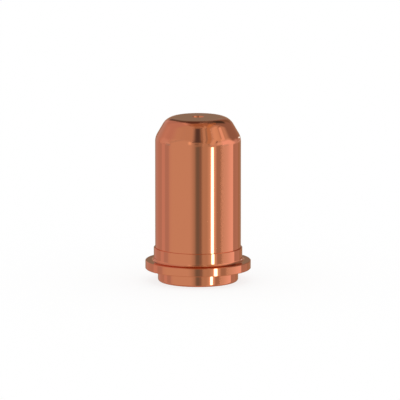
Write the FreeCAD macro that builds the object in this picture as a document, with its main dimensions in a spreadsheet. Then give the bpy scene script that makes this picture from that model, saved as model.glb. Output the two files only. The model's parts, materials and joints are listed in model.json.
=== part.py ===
import FreeCAD, Part
import os

import Sketcher

# Plasma torch nozzle, turned and bored from one copper bar.
# It stands on its open rear end. Z runs up the bore axis to the tip, and the origin is the
# centre of the rear face. From the rear up it has a short spigot, a clamping flange, a low
# locating collar, a long plain body and a conical nose with a flat tip. Inside, a ring bore
# takes the swirl ring, a plain chamber surrounds the electrode, and an inner cone narrows to
# the orifice, which flares open in the tip face.

# Driving dimensions in millimetres, and angles in degrees.
DIMENSIONS = [
    ("overall_height", 30.97, "rear face to tip face"),
    ("body_diameter", 16.0, "plain length of the outside"),
    ("spigot_setback", 0.5, "body radius in to spigot radius"),
    ("spigot_height", 2.37, "rear face to flange underside"),
    ("spigot_edge_radius", 0.45, "rounding of the rear rim"),
    ("flange_reach", 1.85, "body radius out to flange radius"),
    ("flange_thickness", 1.58, "flange underside to flange top"),
    ("flange_chamfer", 0.1, "broken edge of both flange rims"),
    ("collar_reach", 0.27, "body radius out to collar radius"),
    ("collar_height", 2.42, "flange top to the step onto the body"),
    ("collar_chamfer", 0.05, "broken edge of the collar step"),
    ("cove_radius", 0.5, "hollow between the collar and the flange"),
    ("nose_height", 3.82, "shoulder corner to tip face, before rounding"),
    ("nose_angle", 30.2, "outer cone to the axis"),
    ("shoulder_radius", 2.85, "rounding from the body into the outer cone"),
    ("nose_radius", 2.75, "rounding from the outer cone into the tip face"),
    ("spigot_wall", 1.5, "wall between the spigot and the ring bore"),
    ("ring_bore_depth", 3.4, "rear face to the ledge that the swirl ring meets"),
    ("ring_ledge", 0.6, "width of that ledge"),
    ("mouth_chamfer", 0.2, "lead-in at the rear rim of the ring bore"),
    ("inner_cone_angle", 52.0, "inner cone to the axis"),
    ("throat_radius", 0.5, "rounding from the inner cone into the orifice"),
    ("orifice_diameter", 1.3, "straight part of the orifice"),
    ("orifice_length", 2.6, "straight part, throat to flare, before rounding"),
    ("flare_diameter", 2.25, "orifice flare where it meets the tip face"),
    ("flare_angle", 30.0, "flare to the axis"),
]

# Radii and heights that follow from the driving dimensions.
ON_AXIS = "0"
BODY_RADIUS = "sizes.body_diameter / 2"
SPIGOT_RADIUS = f"{BODY_RADIUS} - sizes.spigot_setback"
FLANGE_RADIUS = f"{BODY_RADIUS} + sizes.flange_reach"
COLLAR_RADIUS = f"{BODY_RADIUS} + sizes.collar_reach"
TIP_RADIUS = f"{BODY_RADIUS} - sizes.nose_height * tan(sizes.nose_angle * 1deg)"
RING_BORE_RADIUS = f"{SPIGOT_RADIUS} - sizes.spigot_wall"
CHAMBER_RADIUS = f"{RING_BORE_RADIUS} - sizes.ring_ledge"
ORIFICE_RADIUS = "sizes.orifice_diameter / 2"
FLARE_RADIUS = "sizes.flare_diameter / 2"

REAR_FACE = "0"
FLANGE_UNDERSIDE = "sizes.spigot_height"
FLANGE_TOP = f"{FLANGE_UNDERSIDE} + sizes.flange_thickness"
COLLAR_TOP = f"{FLANGE_TOP} + sizes.collar_height"
TIP_FACE = "sizes.overall_height"
SHOULDER = f"{TIP_FACE} - sizes.nose_height"
LEDGE = "sizes.ring_bore_depth"
FLARE_START = f"{TIP_FACE} - ({FLARE_RADIUS} - {ORIFICE_RADIUS}) / tan(sizes.flare_angle * 1deg)"
THROAT = f"{FLARE_START} - sizes.orifice_length"
CHAMBER_DROP = f"({CHAMBER_RADIUS} - {ORIFICE_RADIUS}) / tan(sizes.inner_cone_angle * 1deg)"
CHAMBER_END = f"{THROAT} - {CHAMBER_DROP}"

# How the sketcher numbers a line's ends, its own axes and the origin.
START_INDEX, END_INDEX = 1, 2
ACROSS_AXIS_INDEX, UP_AXIS_INDEX = -1, -2
ORIGIN_INDEX = (-1, 1)

FULL_TURN = 360
SAME_PLACE = 1e-4

doc = FreeCAD.newDocument("plasma_torch_nozzle")


def make_sheet():
    """The driving dimensions as a sheet: name, value under that alias, and what it measures."""
    made = doc.addObject("Spreadsheet::Sheet", "sizes")
    for row, (alias, value, note) in enumerate(DIMENSIONS, start=1):
        made.set(f"A{row}", alias)
        made.set(f"B{row}", str(value))
        made.set(f"C{row}", note)
        made.setAlias(f"B{row}", alias)
    doc.recompute()
    return made


sheet = make_sheet()


def size_of(expression):
    """The number that an expression of the sheet's sizes gives."""
    return float(sheet.evalExpression(expression))


def origin_plane(body, role):
    return next(plane for plane in body.Origin.OriginFeatures if plane.Role == role)


def hold_corner(sketch, line, name, direction, axis, expression):
    """Holds a line's start on the axis, or at a named distance from it."""
    if expression == ON_AXIS:
        sketch.addConstraint(Sketcher.Constraint("PointOnObject", line, START_INDEX, axis))
        return
    distance = Sketcher.Constraint(direction, *ORIGIN_INDEX, line, START_INDEX, size_of(expression))
    sketch.renameConstraint(sketch.addConstraint(distance), name)
    sketch.setExpression(f"Constraints.{name}", expression)


def half_section(body, label, corners):
    """A closed sketch in the XZ plane, from each corner's name, radius and height."""
    sketch = body.newObject("Sketcher::SketchObject", label)
    sketch.AttachmentSupport = [(origin_plane(body, "XZ_Plane"), "")]
    sketch.MapMode = "FlatFace"
    points = [FreeCAD.Vector(size_of(radius), size_of(height), 0) for _, radius, height in corners]
    for start, end in zip(points, points[1:] + points[:1]):
        sketch.addGeometry(Part.LineSegment(start, end))
    line_before = len(corners) - 1
    for line, (name, radius, height) in enumerate(corners):
        joint = Sketcher.Constraint("Coincident", line_before, END_INDEX, line, START_INDEX)
        sketch.addConstraint(joint)
        hold_corner(sketch, line, f"{name}_radius", "DistanceX", UP_AXIS_INDEX, radius)
        hold_corner(sketch, line, f"{name}_height", "DistanceY", ACROSS_AXIS_INDEX, height)
        line_before = line
    doc.recompute()
    return sketch


def turn(body, kind, label, sketch):
    """Turns a half section about the Z axis, as a Revolution or as a Groove."""
    feature = body.newObject(kind, label)
    feature.Profile = sketch
    feature.ReferenceAxis = (sketch, ["V_Axis"])
    feature.Angle = FULL_TURN
    doc.recompute()
    return feature


def rim_name(feature, radius, height):
    """The name of the feature's circular edge with that radius and height."""
    for number, edge in enumerate(feature.Shape.Edges, start=1):
        circle = edge.Curve
        if not isinstance(circle, Part.Circle):
            continue
        off_radius = abs(circle.Radius - size_of(radius))
        off_height = abs(circle.Center.z - size_of(height))
        if max(off_radius, off_height) < SAME_PLACE:
            return f"Edge{number}"
    raise RuntimeError(f"{feature.Label} has no rim at radius {radius} and height {height}")


def dress_rims(body, kind, label, rims, size_name, alias):
    """Rounds or chamfers circular edges of the body's last feature, to a size in the sheet."""
    base = body.Tip
    feature = body.newObject(kind, label)
    feature.Base = (base, [rim_name(base, radius, height) for radius, height in rims])
    feature.setExpression(size_name, f"sizes.{alias}")
    doc.recompute()


def round_rims(body, label, rims, alias):
    dress_rims(body, "PartDesign::Fillet", label, rims, "Radius", alias)


def chamfer_rims(body, label, rims, alias):
    dress_rims(body, "PartDesign::Chamfer", label, rims, "Size", alias)


def turn_outside(body):
    section = half_section(body, "outside_section", [
        ("rear_centre", ON_AXIS, REAR_FACE),
        ("spigot_rim", SPIGOT_RADIUS, REAR_FACE),
        ("spigot_root", SPIGOT_RADIUS, FLANGE_UNDERSIDE),
        ("flange_rear_rim", FLANGE_RADIUS, FLANGE_UNDERSIDE),
        ("flange_front_rim", FLANGE_RADIUS, FLANGE_TOP),
        ("collar_root", COLLAR_RADIUS, FLANGE_TOP),
        ("collar_rim", COLLAR_RADIUS, COLLAR_TOP),
        ("body_root", BODY_RADIUS, COLLAR_TOP),
        ("shoulder", BODY_RADIUS, SHOULDER),
        ("tip_rim", TIP_RADIUS, TIP_FACE),
        ("tip_centre", ON_AXIS, TIP_FACE),
    ])
    return turn(body, "PartDesign::Revolution", "turned_outside", section)


def bore_gas_passage(body):
    section = half_section(body, "gas_passage_section", [
        ("mouth_centre", ON_AXIS, REAR_FACE),
        ("mouth_rim", RING_BORE_RADIUS, REAR_FACE),
        ("ledge_outside", RING_BORE_RADIUS, LEDGE),
        ("ledge_inside", CHAMBER_RADIUS, LEDGE),
        ("chamber_end", CHAMBER_RADIUS, CHAMBER_END),
        ("throat", ORIFICE_RADIUS, THROAT),
        ("flare_start", ORIFICE_RADIUS, FLARE_START),
        ("flare_rim", FLARE_RADIUS, TIP_FACE),
        ("flare_centre", ON_AXIS, TIP_FACE),
    ])
    return turn(body, "PartDesign::Groove", "bored_gas_passage", section)


def make_nozzle():
    body = doc.addObject("PartDesign::Body", "nozzle")
    body.Label = "nozzle"
    body.Placement = FreeCAD.Placement()
    blank = turn_outside(body)
    bored = bore_gas_passage(body)
    if bored.Shape.Volume >= blank.Shape.Volume:
        raise RuntimeError("the gas passage cut nothing")

    round_rims(body, "nose_rounding", [(TIP_RADIUS, TIP_FACE)], "nose_radius")
    round_rims(body, "shoulder_rounding", [(BODY_RADIUS, SHOULDER)], "shoulder_radius")
    round_rims(body, "collar_cove", [(COLLAR_RADIUS, FLANGE_TOP)], "cove_radius")
    chamfer_rims(body, "collar_edge", [(COLLAR_RADIUS, COLLAR_TOP)], "collar_chamfer")
    flange_rims = [(FLANGE_RADIUS, FLANGE_UNDERSIDE), (FLANGE_RADIUS, FLANGE_TOP)]
    chamfer_rims(body, "flange_edges", flange_rims, "flange_chamfer")
    round_rims(body, "spigot_edge", [(SPIGOT_RADIUS, REAR_FACE)], "spigot_edge_radius")
    round_rims(body, "throat_rounding", [(ORIFICE_RADIUS, THROAT)], "throat_radius")
    chamfer_rims(body, "mouth_lead_in", [(RING_BORE_RADIUS, REAR_FACE)], "mouth_chamfer")
    return body


def check_document(pieces):
    """Stops before anything is written if an object failed or a piece isn't one sound solid."""
    for thing in doc.Objects:
        if {"Invalid", "Error"} & set(thing.State):
            raise RuntimeError(f"{thing.Label} failed: {thing.State}")
    for piece in pieces:
        shape = piece.Shape
        if shape.isNull() or not shape.isValid() or len(shape.Solids) != 1:
            raise RuntimeError(f"{piece.Label} isn't one sound solid")


def write_piece(piece):
    piece.Shape.exportStep(f"parts/{piece.Label}.step")
    box = piece.Shape.optimalBoundingBox(False)
    print(f"{piece.Label}: {box.XLength:.2f} x {box.YLength:.2f} x {box.ZLength:.2f} mm,")
    print(f"    from Z {box.ZMin:.2f} to {box.ZMax:.2f} mm, volume {piece.Shape.Volume:.1f} mm3")


nozzle = make_nozzle()
doc.recompute()
check_document([nozzle])
os.makedirs("parts", exist_ok=True)
write_piece(nozzle)
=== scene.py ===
import json
import math

import bmesh
import bpy
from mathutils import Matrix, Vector


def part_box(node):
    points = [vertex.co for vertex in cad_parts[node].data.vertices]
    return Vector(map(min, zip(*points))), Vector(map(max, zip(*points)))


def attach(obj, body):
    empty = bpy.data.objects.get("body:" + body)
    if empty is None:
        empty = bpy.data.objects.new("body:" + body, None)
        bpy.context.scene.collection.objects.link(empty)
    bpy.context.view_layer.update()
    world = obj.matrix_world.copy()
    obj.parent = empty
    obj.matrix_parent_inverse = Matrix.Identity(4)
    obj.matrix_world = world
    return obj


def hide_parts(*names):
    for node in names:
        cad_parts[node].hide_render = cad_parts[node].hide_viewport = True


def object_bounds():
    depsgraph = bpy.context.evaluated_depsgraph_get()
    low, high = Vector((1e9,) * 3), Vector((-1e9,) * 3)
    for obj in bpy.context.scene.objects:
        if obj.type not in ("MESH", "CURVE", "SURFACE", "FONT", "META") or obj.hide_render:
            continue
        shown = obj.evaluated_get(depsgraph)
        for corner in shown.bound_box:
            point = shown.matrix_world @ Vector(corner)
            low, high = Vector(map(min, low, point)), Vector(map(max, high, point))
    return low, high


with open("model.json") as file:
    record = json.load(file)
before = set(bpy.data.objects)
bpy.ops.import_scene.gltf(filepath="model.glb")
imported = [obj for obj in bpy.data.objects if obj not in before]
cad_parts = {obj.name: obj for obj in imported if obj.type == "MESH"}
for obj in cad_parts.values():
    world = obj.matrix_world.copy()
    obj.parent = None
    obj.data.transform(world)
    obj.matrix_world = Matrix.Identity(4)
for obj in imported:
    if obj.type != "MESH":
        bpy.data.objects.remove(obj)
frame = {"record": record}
cadLow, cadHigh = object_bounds()
mm = 0.001
print("frame loaded, box", [round(v / mm, 2) for v in (*cadLow, *cadHigh)])


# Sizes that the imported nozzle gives

nozzleLow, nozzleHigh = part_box("nozzle")
mounts = {mount["name"]: mount for mount in frame["record"]["mounts"]}


def mountRadius(name):
    return mounts[name]["dims"]["r_mm"]


# Small helpers

def tangent(degrees):
    return math.tan(math.radians(degrees))


def directionTo(azimuth, elevation):
    # azimuth 0 is the side the camera is on, and it grows towards the right of the picture
    a, e = math.radians(azimuth), math.radians(elevation)
    return Vector((math.sin(a) * math.cos(e), -math.cos(a) * math.cos(e), math.sin(e)))


def addToScene(name, data):
    thing = bpy.data.objects.new(name, data)
    bpy.context.scene.collection.objects.link(thing)
    return thing


def newMaterial(name):
    material = bpy.data.materials.new(name)
    material.use_nodes = True
    nodes = material.node_tree.nodes
    return material, nodes, material.node_tree.links, nodes["Principled BSDF"]


# Outlines: places on a half section, each with the direction from its arc's centre or None

def softenCorner(before, corner, after, kind, size, degreesPerStep):
    # what stands for one corner of the outline: itself, a bevel's two ends, or an arc
    if not size:
        return [(corner, None)]
    toBefore, toAfter = (before - corner).normalized(), (after - corner).normalized()
    turn = math.pi - toBefore.angle(toAfter)
    reach = size if kind == "bevel" else size * math.tan(turn / 2)
    start, end = corner + toBefore * reach, corner + toAfter * reach
    if kind == "bevel":
        return [(start, None), (end, None)]
    middle = corner + (toBefore + toAfter).normalized() * (size / math.cos(turn / 2))
    steps = max(1, round(math.degrees(turn) / degreesPerStep))
    first, last = (start - middle).normalized(), (end - middle).normalized()
    spokes = [first.slerp(last, step / steps) for step in range(steps + 1)]
    return [(middle + spoke * size, spoke) for spoke in spokes]


def splitLongSpans(outline, longest):
    result = []
    for (here, spoke), (there, _) in zip(outline, outline[1:] + outline[:1]):
        pieces = max(1, math.ceil((there - here).length / longest))
        result.append((here, spoke))
        result += [(here.lerp(there, piece / pieces), None) for piece in range(1, pieces)]
    return result


def endNormal(square, spoke, sharpAngle):
    # an arc's own normal where the outline runs on smoothly, and otherwise the one square to the span
    if spoke is None:
        return square
    outward = spoke if spoke.dot(square) > 0 else -spoke
    return outward if outward.angle(square) < math.radians(sharpAngle) else square


def spanNormals(outline, sharpAngle):
    # the normals at both ends of each span
    result = []
    for (here, spokeHere), (there, spokeThere) in zip(outline, outline[1:] + outline[:1]):
        along = there - here
        square = Vector((along.y, -along.x)).normalized()
        result.append([endNormal(square, spoke, sharpAngle) for spoke in (spokeHere, spokeThere)])
    return result


# Nozzle: one turned and bored piece of copper, in millimetres where no note says otherwise

nozzle = {
    "overallHeight": (nozzleHigh.z - nozzleLow.z) / mm,
    "flangeRadius": nozzleHigh.x / mm,
    "spigotRadius": mountRadius("rear_spigot"),
    "collarRadius": mountRadius("locating_collar"),
    "ringBoreRadius": mountRadius("swirl_ring_bore"),
    "bodyRadius": 8.0,
    "spigotHeight": 2.37,
    "spigotRound": 0.45,
    "flangeThickness": 1.58,
    "flangeBevel": 0.1,
    "coveRound": 0.5,         # the hollow between flange and collar
    "collarHeight": 2.42,
    "collarBevel": 0.05,
    "noseHeight": 3.82,
    "noseAngle": 30.2,        # degrees from the axis
    "shoulderRound": 2.85,    # between body and cone
    "noseRound": 2.75,        # between cone and flat tip
    "mouthBevel": 0.2,        # at the rear rim of the ring bore
    "ringBoreDepth": 3.4,
    "chamberRadius": 5.4,
    "innerConeAngle": 52.0,   # degrees from the axis
    "throatRound": 0.5,       # between inner cone and orifice
    "orificeRadius": 0.65,
    "orificeLength": 2.6,
    "flareRadius": 1.125,
    "flareAngle": 30.0,       # degrees from the axis
    "brokenEdge": 0.02,       # the corners that a cutting tool leaves nearly sharp
    "segments": 288,          # around the axis
    "degreesPerStep": 2.5,    # along a rounded edge
    "longestSpan": 2.0,       # along a straight stretch
    "sharpAngle": 12.0,       # degrees: corners that turn further stay crisp
}


def nozzleOutline():
    # the half section as (radius, height), from the rear rim up the outside and down the bore
    n = nozzle
    flangeTop = n["spigotHeight"] + n["flangeThickness"]
    collarTop = flangeTop + n["collarHeight"]
    tip = n["overallHeight"]
    shoulder = tip - n["noseHeight"]
    tipRadius = n["bodyRadius"] - n["noseHeight"] * tangent(n["noseAngle"])
    flareDepth = (n["flareRadius"] - n["orificeRadius"]) / tangent(n["flareAngle"])
    throat = tip - flareDepth - n["orificeLength"]
    innerCone = (n["chamberRadius"] - n["orificeRadius"]) / tangent(n["innerConeAngle"])
    edge = n["brokenEdge"]
    corners = [
        (n["spigotRadius"], 0, "round", n["spigotRound"]),
        (n["spigotRadius"], n["spigotHeight"], "sharp", 0),
        (n["flangeRadius"], n["spigotHeight"], "bevel", n["flangeBevel"]),
        (n["flangeRadius"], flangeTop, "bevel", n["flangeBevel"]),
        (n["collarRadius"], flangeTop, "round", n["coveRound"]),
        (n["collarRadius"], collarTop, "bevel", n["collarBevel"]),
        (n["bodyRadius"], collarTop, "sharp", 0),
        (n["bodyRadius"], shoulder, "round", n["shoulderRound"]),
        (tipRadius, tip, "round", n["noseRound"]),
        (n["flareRadius"], tip, "round", edge),
        (n["orificeRadius"], tip - flareDepth, "round", edge),
        (n["orificeRadius"], throat, "round", n["throatRound"]),
        (n["chamberRadius"], throat - innerCone, "sharp", 0),
        (n["chamberRadius"], n["ringBoreDepth"], "round", edge),
        (n["ringBoreRadius"], n["ringBoreDepth"], "sharp", 0),
        (n["ringBoreRadius"], 0, "bevel", n["mouthBevel"]),
    ]
    places = [Vector((radius, height)) for radius, height, *_ in corners]
    outline = []
    for index, (_, _, kind, size) in enumerate(corners):
        before, after = places[index - 1], places[(index + 1) % len(places)]
        outline += softenCorner(before, places[index], after, kind, size, n["degreesPerStep"])
    return splitLongSpans(outline, n["longestSpan"])


def turnOnLathe(name, outline, segments, sharpAngle):
    # each span of the outline becomes a ring of faces, with the turned form's exact normals
    def around(place, segment):
        angle = math.tau * segment / segments
        return Vector((place.x * math.cos(angle), place.x * math.sin(angle), place.y))

    vertices = [around(place, segment) * mm for place, _ in outline for segment in range(segments)]
    faces, cornerNormals = [], []
    for span, (start, end) in enumerate(spanNormals(outline, sharpAngle)):
        low, high = span * segments, (span + 1) % len(outline) * segments
        for segment in range(segments):
            following = (segment + 1) % segments
            faces.append((low + segment, low + following, high + following, high + segment))
            cornerNormals += [around(start, segment), around(start, following),
                              around(end, following), around(end, segment)]
    mesh = bpy.data.meshes.new(name)
    mesh.from_pydata(vertices, [], faces)
    mesh.shade_smooth()
    mesh.normals_split_custom_set(cornerNormals)
    return addToScene(name, mesh)


copperNozzle = turnOnLathe("nozzle_turned", nozzleOutline(), nozzle["segments"], nozzle["sharpAngle"])
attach(copperNozzle, "root")
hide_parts("nozzle")
print("nozzle turned,", len(copperNozzle.data.polygons), "faces")


# Shader groups

latheDefaults = {"Spacing": 0.1, "Unevenness": 0.5}
latheNoise = {
    "ringScale": 1.0,         # rings in one spacing
    "patchScale": 0.35,       # patches in a millimetre
    "detail": 2.0,
    "middle": 0.5,            # of the noise's values
}
fadeDefaults = {"Left Fade": 0.2, "Right Fade": 0.2, "Low Fade": 0.2, "High Fade": 0.2}


def newGroup(name, inputs, outputs):
    group = bpy.data.node_groups.new(name, "ShaderNodeTree")
    for label, value in inputs.items():
        socket = group.interface.new_socket(label, in_out="INPUT", socket_type="NodeSocketFloat")
        socket.default_value = value
    for label in outputs:
        group.interface.new_socket(label, in_out="OUTPUT", socket_type="NodeSocketFloat")
    nodes = group.nodes
    return group, nodes, group.links, nodes.new("NodeGroupInput"), nodes.new("NodeGroupOutput")


def mathNode(nodes, links, operation, first, second=None):
    node = nodes.new("ShaderNodeMath")
    node.operation = operation
    for socket, value in zip(node.inputs, (first, second)):
        if isinstance(value, (int, float)):
            socket.default_value = value
        elif value is not None:
            links.new(value, socket)
    return node.outputs[0]


def placeOnNozzle(nodes, links):
    # the place that is shaded, in millimetres: as a vector, its height and its distance from the axis
    coordinate = nodes.new("ShaderNodeTexCoord")
    place = nodes.new("ShaderNodeVectorMath")
    place.operation = "SCALE"
    place.inputs["Scale"].default_value = 1 / mm
    links.new(coordinate.outputs["Object"], place.inputs[0])
    parts = nodes.new("ShaderNodeSeparateXYZ")
    links.new(place.outputs[0], parts.inputs[0])
    sides = [parts.outputs[axis] for axis in "XY"]
    squares = [mathNode(nodes, links, "MULTIPLY", side, side) for side in sides]
    across = mathNode(nodes, links, "SQRT", mathNode(nodes, links, "ADD", *squares))
    return place.outputs[0], parts.outputs["Z"], across


def makeLatheMarks():
    # rings left by the tool and the polishing cloth: their height from -0.5 to 0.5, and uneven streaks
    group, nodes, links, into, out = newGroup("latheMarks", latheDefaults, ["Height", "Streaks"])
    place, high, across = placeOnNozzle(nodes, links)
    along = mathNode(nodes, links, "SUBTRACT", high, across)
    rings = nodes.new("ShaderNodeTexNoise")
    rings.noise_dimensions = "1D"
    rings.inputs["Detail"].default_value = latheNoise["detail"]
    rings.inputs["Scale"].default_value = latheNoise["ringScale"]
    links.new(mathNode(nodes, links, "DIVIDE", along, into.outputs["Spacing"]), rings.inputs["W"])
    patches = nodes.new("ShaderNodeTexNoise")
    patches.inputs["Scale"].default_value = latheNoise["patchScale"]
    patches.inputs["Detail"].default_value = latheNoise["detail"]
    links.new(place, patches.inputs["Vector"])
    height = mathNode(nodes, links, "SUBTRACT", rings.outputs["Fac"], latheNoise["middle"])
    fade = mathNode(nodes, links, "MULTIPLY", patches.outputs["Fac"], into.outputs["Unevenness"])
    keep = mathNode(nodes, links, "SUBTRACT", 1.0, fade)
    links.new(mathNode(nodes, links, "MULTIPLY", height, keep), out.inputs["Height"])
    links.new(mathNode(nodes, links, "MULTIPLY", rings.outputs["Fac"], patches.outputs["Fac"]),
              out.inputs["Streaks"])
    return group


def makeBoredInside():
    # 1 on the walls of the gas passage behind the orifice, 0 outside
    group, nodes, links, into, out = newGroup("boredInside", {"Radius": 6.0, "End": 28.0}, ["Mask"])
    _, high, across = placeOnNozzle(nodes, links)
    within = mathNode(nodes, links, "LESS_THAN", across, into.outputs["Radius"])
    behind = mathNode(nodes, links, "LESS_THAN", high, into.outputs["End"])
    links.new(mathNode(nodes, links, "MULTIPLY", within, behind), out.inputs["Mask"])
    return group


def makeSoftEdges():
    # 1 in the middle of a card and 0 at its edges, which fade over shares of its width and height
    group, nodes, links, into, out = newGroup("softEdges", fadeDefaults, ["Mask"])
    coordinate = nodes.new("ShaderNodeTexCoord")
    parts = nodes.new("ShaderNodeSeparateXYZ")
    links.new(coordinate.outputs["UV"], parts.inputs[0])
    mask = 1.0
    for fade, axis, fromFarEdge in zip(fadeDefaults, "XXYY", (False, True, False, True)):
        inward = parts.outputs[axis]
        if fromFarEdge:
            inward = mathNode(nodes, links, "SUBTRACT", 1.0, inward)
        ramp = nodes.new("ShaderNodeMapRange")
        ramp.interpolation_type = "SMOOTHSTEP"
        links.new(inward, ramp.inputs["Value"])
        links.new(into.outputs[fade], ramp.inputs["From Max"])
        mask = mathNode(nodes, links, "MULTIPLY", ramp.outputs["Result"], mask)
    links.new(mask, out.inputs["Mask"])
    return group


latheMarks = makeLatheMarks()
boredInside = makeBoredInside()
softEdges = makeSoftEdges()


# Polished copper

copperFinish = {
    "tone": (0.56, 0.195, 0.096, 1),
    "deepTone": (0.50, 0.165, 0.078, 1),
    "deepToneShare": 0.2,             # of the streaks
    "edgeTint": (1.0, 0.75, 0.64, 1),   # of what is mirrored at a glancing angle
    "roughness": (0.03, 0.07),        # between clean and handled patches
    "markSpacing": 0.12,              # millimetres
    "markDepth": 0.00002,             # millimetres
    "boredTone": (0.50, 0.19, 0.10, 1),
    "boredRoughness": 0.42,
    "boredMarkSpacing": 0.25,         # millimetres
    "boredMarkDepth": 0.003,          # millimetres
    "boredRim": 0.05,                 # millimetres, how far the bored finish comes out over the rim
}


def blend(nodes, links, share, first, second, kind="FLOAT"):
    node = nodes.new("ShaderNodeMix")
    node.data_type = kind
    links.new(share, node.inputs["Factor"])
    sockets = [socket for socket in node.inputs if socket.enabled and socket.name in ("A", "B")]
    for socket, value in zip(sockets, (first, second)):
        if isinstance(value, bpy.types.NodeSocket):
            links.new(value, socket)
        else:
            socket.default_value = value
    return next(socket for socket in node.outputs if socket.enabled)


def addMarks(nodes, spacing):
    marks = nodes.new("ShaderNodeGroup")
    marks.node_tree = latheMarks
    marks.inputs["Spacing"].default_value = spacing
    return marks


def addBump(nodes, links, height, depth, beneath=None):
    bump = nodes.new("ShaderNodeBump")
    bump.inputs["Distance"].default_value = depth * mm
    links.new(height, bump.inputs["Height"])
    if beneath:
        links.new(beneath, bump.inputs["Normal"])
    return bump.outputs["Normal"]


def makeCopper():
    # clear polish with fine marks outside, and a coarser bored finish in the gas passage
    finish = copperFinish
    material, nodes, links, shader = newMaterial("polishedCopper")
    shader.inputs["Metallic"].default_value = 1.0
    shader.inputs["Specular Tint"].default_value = finish["edgeTint"]

    marks = addMarks(nodes, finish["markSpacing"])
    boredMarks = addMarks(nodes, finish["boredMarkSpacing"])
    inside = nodes.new("ShaderNodeGroup")
    inside.node_tree = boredInside
    inside.inputs["Radius"].default_value = nozzle["ringBoreRadius"] + finish["boredRim"]
    inside.inputs["End"].default_value = nozzle["overallHeight"] - nozzle["noseHeight"]
    bored = inside.outputs["Mask"]

    streaks = mathNode(nodes, links, "MULTIPLY", marks.outputs["Streaks"], finish["deepToneShare"])
    polished = blend(nodes, links, streaks, finish["tone"], finish["deepTone"], "RGBA")
    tone = blend(nodes, links, bored, polished, finish["boredTone"], "RGBA")
    links.new(tone, shader.inputs["Base Color"])

    sheen = blend(nodes, links, marks.outputs["Streaks"], *finish["roughness"])
    roughness = blend(nodes, links, bored, sheen, finish["boredRoughness"])
    links.new(roughness, shader.inputs["Roughness"])

    boredHeight = mathNode(nodes, links, "MULTIPLY", boredMarks.outputs["Height"], bored)
    normal = addBump(nodes, links, marks.outputs["Height"], finish["markDepth"])
    normal = addBump(nodes, links, boredHeight, finish["boredMarkDepth"], normal)
    links.new(normal, shader.inputs["Normal"])
    return material


copperNozzle.data.materials.append(makeCopper())
print("copper finished")


# Studio: a white room whose soft cards and flags the copper mirrors

studio = {
    "cardDistance": 2.36,     # metres from the nozzle to the first card, beyond the camera
    "layerGap": 0.01,         # metres between one card and the next, nearer one
    "cardDivisions": 24,      # across each card, and up it
    "leastFade": 0.001,       # share of a card, for an edge that stays hard
    "bowStep": 0.01,          # share of a ribbon's length over which its direction is taken
    "floorRadius": 0.6,       # metres
    "floorSegments": 96,
    "shadowShare": 0.2,       # how much of the floor's brightness the nozzle can shade
}

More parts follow.
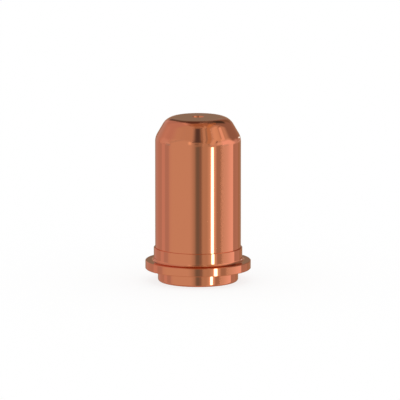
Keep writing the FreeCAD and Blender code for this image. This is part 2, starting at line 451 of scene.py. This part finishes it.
# Each panel fills a patch of the view from the nozzle, in degrees: its left and right azimuth and its
# low and high elevation, then how far the left, right, low and high edges fade, and its tone. A lean
# moves the top of its left and right edges sideways. Later cards hang in front of earlier ones. The
# lamps are bluish, because copper warms what it mirrors.
panels = {
    # the wall on the left
    "leftHaze": {"span": (-120, -14, 28, 86), "fades": (20, 12, 22, 12), "tone": (0.90, 0.87, 0.84)},
    "leftWall": {"span": (-186, -70, -70, 84), "fades": (6, 30, 20, 12), "tone": (0.89, 0.77, 0.87)},
    "leftWallEdge": {"span": (-172, -128, 18, 62), "fades": (12, 16, 8, 12), "tone": (0.76, 0.67, 0.79)},
    "leftWallLow": {"span": (-128, -84, -8, 32), "fades": (14, 10, 6, 16), "tone": (1.02, 0.93, 1.08)},
    "leftFoot": {"span": (-182, -81, -70, 2), "fades": (6, 8, 20, 10), "tone": (0.77, 0.72, 0.84)},
    "leftFootStrip": {"span": (-117, -98, -70, 2), "fades": (5, 5, 20, 8), "tone": (0.96, 0.85, 0.99)},
    "leftWallBlue": {"span": (-166, -122, -10, 24), "fades": (12, 20, 8, 8), "tone": (0.79, 0.81, 1.00)},
    "leftPane": {"span": (-104, -81, 0, 15), "fades": (6, 7, 5, 7), "tone": (1.04, 1.02, 1.19)},
    "leftPaneFoot": {"span": (-98, -77, -8, 5), "fades": (6, 6, 4, 5), "tone": (0.74, 0.84, 1.04)},
    # the wall on the right
    "rightHaze": {"span": (50, 112, 26, 74), "fades": (14, 12, 14, 10), "tone": (0.90, 0.83, 0.80)},
    "creamPane": {"span": (55, 81, 24, 48), "fades": (6, 6, 8, 6), "tone": (1.14, 1.09, 0.99)},
    "rightWall": {"span": (98, 178, -70, 76), "fades": (16, 6, 20, 16), "tone": (0.47, 0.44, 0.465)},
    "rightWallTop": {"span": (14, 170, 54, 90), "fades": (16, 12, 14, 0), "tone": (0.68, 0.54, 0.43)},
    "rightFoot": {"span": (108, 170, -70, 9), "fades": (6, 14, 20, 8), "tone": (0.72, 0.68, 0.76)},
    "rightSill": {"span": (106, 140, -8, 15), "lean": (0, -8), "fades": (6, 12, 4, 12),
                  "tone": (0.92, 0.89, 1.08)},
    # the wall behind the nozzle, with its door
    "backFoot": {"span": (144, 214, -70, 11), "fades": (12, 18, 20, 8), "tone": (0.48, 0.41, 0.29)},
    "rightFootEdge": {"span": (133, 158, -70, -5.5), "fades": (7, 8, 20, 3.5),
                      "tone": (0.58, 0.54, 0.47)},
    "backWall": {"span": (163, 197, 8, 60), "lean": (0, 12), "fades": (14, 10, 6, 12),
                 "tone": (0.38, 0.54, 0.62)},
    "backWallFoot": {"span": (158, 196, 6, 18), "fades": (6, 5, 3, 5), "tone": (0.42, 0.42, 0.32)},
    "backSill": {"span": (172, 188, 6, 12.5), "fades": (3, 3, 2, 2), "tone": (0.34, 0.355, 0.295)},
    "backPost": {"span": (187, 201, 14, 56), "lean": (2, 10), "fades": (5, 6, 8, 8),
                 "tone": (0.19, 0.21, 0.23)},
    "doorSide": {"span": (146, 168, 10, 38), "fades": (8, 6, 8, 8), "tone": (0.34, 0.31, 0.27)},
    "backTop": {"span": (160, 209, 36, 88), "lean": (2, 25), "fades": (16, 16, 14, 14),
                "tone": (0.18, 0.13, 0.13)},
    "rearDoor": {"span": (129, 173, 31, 74), "lean": (-4, 2), "fades": (14, 13, 7, 28),
                 "tone": (0.11, 0.125, 0.135)},
    "rearShade": {"span": (126, 160, 60, 73), "fades": (12, 10, 3, 8), "tone": (0.42, 0.31, 0.26)},
    # the window on the right
    "glowSide": {"span": (50, 70, 1, 23), "lean": (3, 4), "fades": (5, 5, 6, 7),
                 "tone": (1.27, 1.29, 1.31)},
    "sideGlow": {"span": (59, 132, -8, 31), "lean": (8, -38), "fades": (15, 19, 8, 14),
                 "tone": (1.52, 1.42, 1.68)},
    "sideGlowTop": {"span": (60, 88, 24, 43), "lean": (26, 10), "fades": (8, 6, 6, 4),
                    "tone": (1.40, 1.33, 1.39)},
    "sideGlowFoot": {"span": (60, 112, -70, 2), "fades": (50, 5, 20, 8), "tone": (1.48, 1.42, 1.70)},
    "glowSill": {"span": (64, 97, -12, 5), "fades": (12, 14, 8, 8), "tone": (1.04, 1.13, 1.28)},
    "blueSill": {"span": (55, 74, -10, 4), "fades": (6, 10, 5, 6), "tone": (0.74, 0.82, 0.92)},
    # beside the camera: a pale fill with dark flags in front of it
    "fill": {"span": (-2, 36, -70, 62), "fades": (4, 6, 20, 14), "tone": (0.80, 0.80, 0.75)},
    "greyBesideKey": {"span": (47, 69, -70, 2), "fades": (5, 9, 20, 7), "tone": (0.64, 0.62, 0.60)},
    "frontPane": {"span": (-29, -13, 5, 40), "lean": (-4, -4), "fades": (8, 8, 14, 14),
                  "tone": (1.52, 1.52, 1.46)},
    "frontTop": {"span": (-34, 30, 52, 80), "fades": (20, 18, 10, 10), "tone": (0.62, 0.545, 0.44)},
    "frontFlag": {"span": (-24, 14.5, -70, 37), "fades": (26, 9, 20, 12), "tone": (0.46, 0.49, 0.47)},
    "frontFlagFoot": {"span": (-10, 9.5, -70, 2), "fades": (8, 7, 20, 10), "tone": (0.30, 0.375, 0.395)},
    "frontFlagFootSide": {"span": (1.5, 11, -70, 0), "fades": (5, 5, 20, 6),
                          "tone": (0.41, 0.405, 0.415)},
    "frontFlagBar": {"span": (-11, 10, 11, 22), "fades": (5, 5, 4, 4), "tone": (0.38, 0.40, 0.38)},
    "frontFlagTop": {"span": (-26, 24, 23, 64), "fades": (22, 22, 10, 11),
                     "tone": (0.162, 0.168, 0.205)},
    "flagWarm": {"span": (-1, 11, 0, 31), "fades": (6, 4, 5, 9), "tone": (0.58, 0.575, 0.54)},
    "flagGap": {"span": (-1, 15, 17, 29), "fades": (6, 5, 4, 6), "tone": (0.62, 0.60, 0.54)},
    "flagSide": {"span": (8.5, 17.5, 24, 72), "fades": (4.5, 4.5, 12, 12), "tone": (0.57, 0.51, 0.43)},
    # above and below
    "ceiling": {"span": (-180, 180, 67, 90), "fades": (0, 0, 13, 0), "tone": (0.59, 0.415, 0.295)},
    "ground": {"span": (-180, 180, -90, -34), "fades": (0, 0, 0, 22), "tone": (0.76, 0.62, 0.54)},
    # the key light
    "keyHalo": {"span": (22, 53, -70, -3), "fades": (13, 9, 20, 3), "tone": (1.15, 1.15, 1.10)},
    "keyStrip": {"span": (33.4, 44.4, -22, -7.2), "fades": (5, 4.4, 6, 2.5), "tone": (10.5, 12.5, 14.5)},
}

# Each ribbon follows a bow through three places, given by azimuth and elevation, with its width in
# degrees, how much of the width and length fades, and its tone.
ribbons = {
    "whiteBeam": {"through": ((38, 2), (53, 37), (96, 50)), "width": 15, "fades": (0.4, 0.15),
                  "tone": (1.21, 1.18, 1.11)},
    "warmBeam": {"through": ((28.5, 15), (38, 44), (64, 61)), "width": 15.5, "fades": (0.35, 0.12),
                 "tone": (0.84, 0.71, 0.54)},
    "warmBeamTop": {"through": ((46, 57), (86, 67), (124, 65)), "width": 13, "fades": (0.4, 0.25),
                    "tone": (0.93, 0.70, 0.41)},
    "greyBeam": {"through": ((21.5, 20), (28.5, 43), (44, 61)), "width": 7, "fades": (0.45, 0.2),
                 "tone": (0.59, 0.58, 0.53)},
    "greySill": {"through": ((30.5, 5), (29.5, 12), (27, 17.5)), "width": 6, "fades": (0.45, 0.3),
                 "tone": (0.60, 0.58, 0.52)},
    "paleBeam": {"through": ((14, -4), (21, 44), (56, 71)), "width": 8.5, "fades": (0.45, 0.1),
                 "tone": (0.88, 0.88, 0.82)},
    "paleBeamTop": {"through": ((24, 55), (40, 67.5), (80, 76)), "width": 7, "fades": (0.45, 0.2),
                    "tone": (0.90, 0.86, 0.75)},
    "darkPane": {"through": ((50, 15), (55, 24), (61, 32)), "width": 8, "fades": (0.45, 0.3),
                 "tone": (0.52, 0.50, 0.48)},
    "leftWallTop": {"through": ((-152, 56), (-125, 66), (-92, 70)), "width": 9, "fades": (0.45, 0.2),
                    "tone": (1.04, 0.90, 0.95)},
    "leftSeam": {"through": ((-86, 11), (-68, 26), (-44, 48)), "width": 12, "fades": (0.45, 0.2),
                 "tone": (0.86, 0.88, 0.92)},
    "rearBeam": {"through": ((112, 61), (133, 58), (152, 56)), "width": 9, "fades": (0.4, 0.25),
                 "tone": (0.57, 0.41, 0.28)},
    "beamShade": {"through": ((84, 45.5), (97, 46), (109, 44.5)), "width": 6.5, "fades": (0.4, 0.3),
                  "tone": (0.64, 0.56, 0.51)},
    "tipEdgeLeft": {"through": ((-134, 76), (-97, 79), (-58, 76.5)), "width": 9, "fades": (0.4, 0.25),
                    "tone": (0.74, 0.57, 0.46)},
    "tipEdgeRight": {"through": ((64, 79), (94, 80), (122, 78)), "width": 8, "fades": (0.4, 0.25),
                     "tone": (0.73, 0.58, 0.47)},
    "rimLamp": {"through": ((142.3, 4.2), (152, 1.0), (161.8, -3.6)), "width": 3.6, "fades": (0.35, 0.2),
                "tone": (1.6, 3.2, 4.4)},
    "sillLine": {"through": ((116, -3.5), (140, -4.5), (168, -5.5)), "width": 4, "fades": (0.4, 0.2),
                 "tone": (0.86, 0.90, 1.00)},
}


def makeMattGlow(shader, paint, glow, strength):
    # a surface without any shine that also gives off light of its own
    shader.inputs["Base Color"].default_value = (*paint, 1)
    shader.inputs["Specular IOR Level"].default_value = 0.0
    shader.inputs["Emission Color"].default_value = (*glow, 1)
    shader.inputs["Emission Strength"].default_value = strength


def makeCardMaterial(name, shares, tone):
    # shares: the part of the card over which its left, right, low and high edges fade
    material, nodes, links, shader = newMaterial(name)
    makeMattGlow(shader, (0, 0, 0), tone, 1.0)
    edges = nodes.new("ShaderNodeGroup")
    edges.node_tree = softEdges
    for socket, share in zip(edges.inputs, shares):
        socket.default_value = max(share, studio["leastFade"])
    links.new(edges.outputs["Mask"], shader.inputs["Alpha"])
    material.cycles.emission_sampling = "NONE"    # mirrored rays find it, so it isn't a lamp
    return material


def hangCard(name, layer, placeAt, shares, tone):
    # placeAt gives the direction of a place on the card from two shares, across it and up it
    divisions = studio["cardDivisions"]
    distance = studio["cardDistance"] - studio["layerGap"] * layer
    centre = (cadLow + cadHigh) / 2
    built = bmesh.new()
    uvLayer = built.loops.layers.uv.new("card")
    steps = range(divisions + 1)
    grid = [[built.verts.new(centre + placeAt(c / divisions, r / divisions) * distance) for c in steps]
            for r in steps]
    for row in range(divisions):
        for column in range(divisions):
            places = [(row, column), (row, column + 1), (row + 1, column + 1), (row + 1, column)]
            face = built.faces.new([grid[r][c] for r, c in places])
            for loop, (r, c) in zip(face.loops, places):
                loop[uvLayer].uv = (c / divisions, r / divisions)
    mesh = bpy.data.meshes.new(name)
    built.to_mesh(mesh)
    built.free()
    mesh.materials.append(makeCardMaterial(name, shares, tone))
    card = addToScene(name, mesh)
    card.visible_camera = False
    card.visible_diffuse = False
    card.visible_shadow = False


def hangPanel(name, layer, span, fades, tone, lean=(0, 0)):
    left, right, low, high = span
    leftLean, rightLean = lean

    def placeAt(across, up):
        leftEdge, rightEdge = left + leftLean * up, right + rightLean * up
        azimuth = leftEdge * (1 - across) + rightEdge * across
        return directionTo(azimuth, low + (high - low) * up)

    sideShares = [fade / (right - left) for fade in fades[:2]]
    endShares = [fade / (high - low) for fade in fades[2:]]
    hangCard(name, layer, placeAt, sideShares + endShares, tone)


def hangRibbon(name, layer, through, width, fades, tone):
    start, middle, end = (directionTo(*place) for place in through)
    bend = middle * 2 - (start + end) / 2    # pulls the bow through its middle place

    def along(share):
        return start * (1 - share) ** 2 + bend * 2 * share * (1 - share) + end * share ** 2

    def placeAt(across, up):
        here = along(up)
        ahead = along(up + studio["bowStep"]) - along(up - studio["bowStep"])
        side = ahead.cross(here).normalized()
        return (here.normalized() + side * tangent(width) * (across - 0.5)).normalized()

    sideFade, endFade = fades
    hangCard(name, layer, placeAt, [sideFade, sideFade, endFade, endFade], tone)


for layer, (name, values) in enumerate(panels.items()):
    hangPanel(name, layer, **values)
for layer, (name, values) in enumerate(ribbons.items(), start=len(panels)):
    hangRibbon(name, layer, **values)
print("studio cards hung")


def makeWorld():
    world = bpy.data.worlds.new("whiteRoom")
    world.use_nodes = True
    background = world.node_tree.nodes["Background"]
    background.inputs["Color"].default_value = (1, 1, 1, 1)
    background.inputs["Strength"].default_value = 1.0
    bpy.context.scene.world = world


def makeFloorMaterial():
    # mostly light of its own, so that the floor is white and the shadow faint, and clear from below
    share = studio["shadowShare"]
    material, nodes, links, shader = newMaterial("paleFloor")
    makeMattGlow(shader, (share, share, share), (1, 1, 1), 1 - share)
    geometry = nodes.new("ShaderNodeNewGeometry")
    fromAbove = mathNode(nodes, links, "SUBTRACT", 1.0, geometry.outputs["Backfacing"])
    links.new(fromAbove, shader.inputs["Alpha"])
    return material


def makeFloor():
    built = bmesh.new()
    bmesh.ops.create_circle(
        built, cap_ends=True, segments=studio["floorSegments"], radius=studio["floorRadius"])
    mesh = bpy.data.meshes.new("floor")
    built.to_mesh(mesh)
    built.free()
    mesh.materials.append(makeFloorMaterial())
    floor = addToScene("floor", mesh)
    floor.location.z = nozzleLow.z
    floor.visible_glossy = False


makeWorld()
makeFloor()
print("room and floor made")


# Camera

cameraPlace = {
    "elevation": 9.62,        # degrees
    "distance": 1.343,        # metres
    "lens": 648.0,            # millimetres
    "sensorWidth": 36.0,      # millimetres
    "aimSide": 0.365,         # millimetres to the right of the axis
    "aimHeight": 15.23,       # millimetres above the rear face
}


def makeCamera():
    place = cameraPlace
    data = bpy.data.cameras.new("camera")
    data.lens = place["lens"]
    data.sensor_width = place["sensorWidth"]
    camera = addToScene("camera", data)
    back = directionTo(0, place["elevation"])
    aim = Vector((place["aimSide"] * mm, 0, nozzleLow.z + place["aimHeight"] * mm))
    camera.location = aim + back * place["distance"]
    camera.rotation_euler = (-back).to_track_quat("-Z", "Y").to_euler()
    bpy.context.scene.camera = camera


makeCamera()
bpy.context.scene.view_settings.view_transform = "Standard"
print("camera placed")
